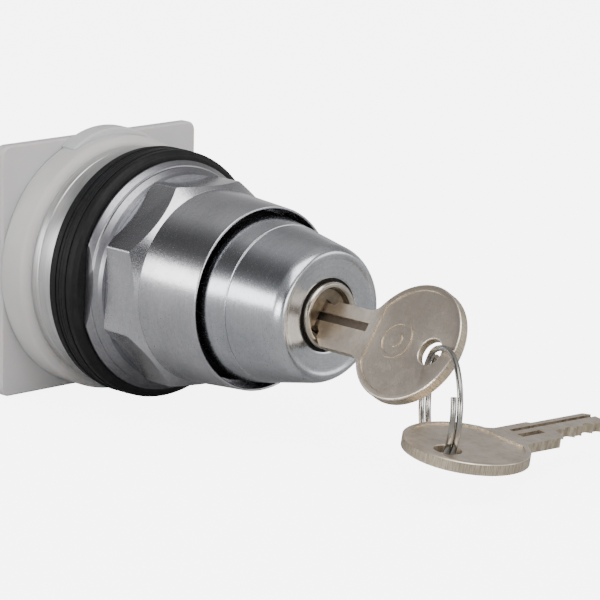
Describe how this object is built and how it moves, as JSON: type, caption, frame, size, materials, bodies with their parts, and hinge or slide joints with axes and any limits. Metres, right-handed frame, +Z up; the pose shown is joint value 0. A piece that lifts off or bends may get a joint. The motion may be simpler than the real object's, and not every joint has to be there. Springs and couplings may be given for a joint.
{
  "type": "selector key switch",
  "caption": "Key-operated selector switch operator with square base, clamping washers, ring nut, lock head, key and spare key on a split ring.",
  "frame": {"origin": "centre of the seat that the panel's rear face rests on, on the switch axis", "axes": "Y is the switch axis with the key end towards -Y, +Z is up with the locating lug on top, +X is to the right seen from the key end"},
  "size_m": [0.0534, 0.1166, 0.0464],
  "materials": {
    "plate_plastic": "frosted translucent pale grey",
    "housing_plastic": "moulded grey",
    "barrel_metal": "die-cast zinc, plated",
    "washer_metal": "satin",
    "liner_rubber": "black",
    "gasket_rubber": "black",
    "trim_metal": "satin chrome",
    "nut_metal": "satin chrome",
    "seal_rubber": "black",
    "head_metal": "bluish satin chrome",
    "sleeve_metal": "turned",
    "plug_metal": "nickel plated",
    "wafer_metal": "pressed sheet",
    "steel": "bright steel",
    "screw_steel": "zinc plated",
    "spring_steel": "spring wire",
    "bush_plastic": "natural acetal",
    "cam_plastic": "black acetal",
    "plunger_plastic": "red acetal",
    "key_nickel": "satin nickel",
    "ring_steel": "bright spring steel"
  },
  "bodies": {
    "operator": {"base_plate": "plate_plastic", "base_flange": "plate_plastic", "locating_lug": "plate_plastic", "seat_ring": "washer_metal", "barrel": "barrel_metal", "rear_housing": "housing_plastic", "housing_screws": "screw_steel", "lip_seal": "seal_rubber", "lock_head": "head_metal", "lock_sleeve": "sleeve_metal", "dust_ring": "seal_rubber", "bearing_bush": "bush_plastic", "stop_pin": "steel", "spring_right": "spring_steel", "spring_left": "spring_steel"},
    "lock": {"lock_plug": "plug_metal", "wafers": "wafer_metal", "drive_shaft": "steel", "shaft_clip": "spring_steel", "cam": "cam_plastic"},
    "key": {"key": "key_nickel"},
    "ring": {"split_ring": "ring_steel"},
    "spare_key": {"spare_key": "key_nickel"},
    "clamp": {"panel_washer": "washer_metal", "liner_1": "liner_rubber", "liner_2": "liner_rubber", "liner_3": "liner_rubber", "liner_4": "liner_rubber", "liner_5": "liner_rubber", "gasket": "gasket_rubber", "trim_washer": "trim_metal"},
    "nut": {"ring_nut": "nut_metal"},
    "plunger_right": {"plunger_right": "plunger_plastic"},
    "plunger_left": {"plunger_left": "plunger_plastic"}
  },
  "joints": [
    {"name": "key_turn", "type": "hinge", "parent": "operator", "child": "lock", "pos_m": [0, 0, 0], "axis": [0, 1, 0], "range_deg": [-70, 0]},
    {"name": "key_withdraw", "type": "slide", "parent": "lock", "child": "key", "axis": [0, -1, 0], "range_m": [0, 0.025]},
    {"name": "ring_swing", "type": "hinge", "parent": "key", "child": "ring", "pos_m": [-0.00115, -0.0762, -0.00164], "axis": [0.8192, 0, -0.5736], "range_deg": [-45, 45]},
    {"name": "spare_swing", "type": "hinge", "parent": "ring", "child": "spare_key", "pos_m": [-0.00781, -0.08671, -0.01505], "axis": [0.0491, -0.1284, 0.9905], "range_deg": [-60, 4]},
    {"name": "nut_turn", "type": "hinge", "parent": "clamp", "child": "nut", "pos_m": [0, -0.0165, 0], "axis": [0, -1, 0], "range_deg": [0, 1440.01]},
    {"name": "clamp_slide", "type": "slide", "parent": "operator", "child": "clamp", "axis": [0, -1, 0], "range_m": [0, 0.006]},
    {"name": "plunger_right_slide", "type": "slide", "parent": "operator", "child": "plunger_right", "axis": [0, 1, 0], "range_m": [-0.003, 0], "deforming": ["spring_right"]},
    {"name": "plunger_left_slide", "type": "slide", "parent": "operator", "child": "plunger_left", "axis": [0, 1, 0], "range_m": [0, 0.003], "deforming": ["spring_left"]}
  ],
  "couplings": [
    {"joint": "plunger_right_slide", "follows": "key_turn", "m_per_rad": 0.0024555},
    {"joint": "plunger_left_slide", "follows": "key_turn", "m_per_rad": -0.0024555},
    {"joint": "nut_turn", "follows": "clamp_slide", "rad_per_m": 4188.8}
  ]
}
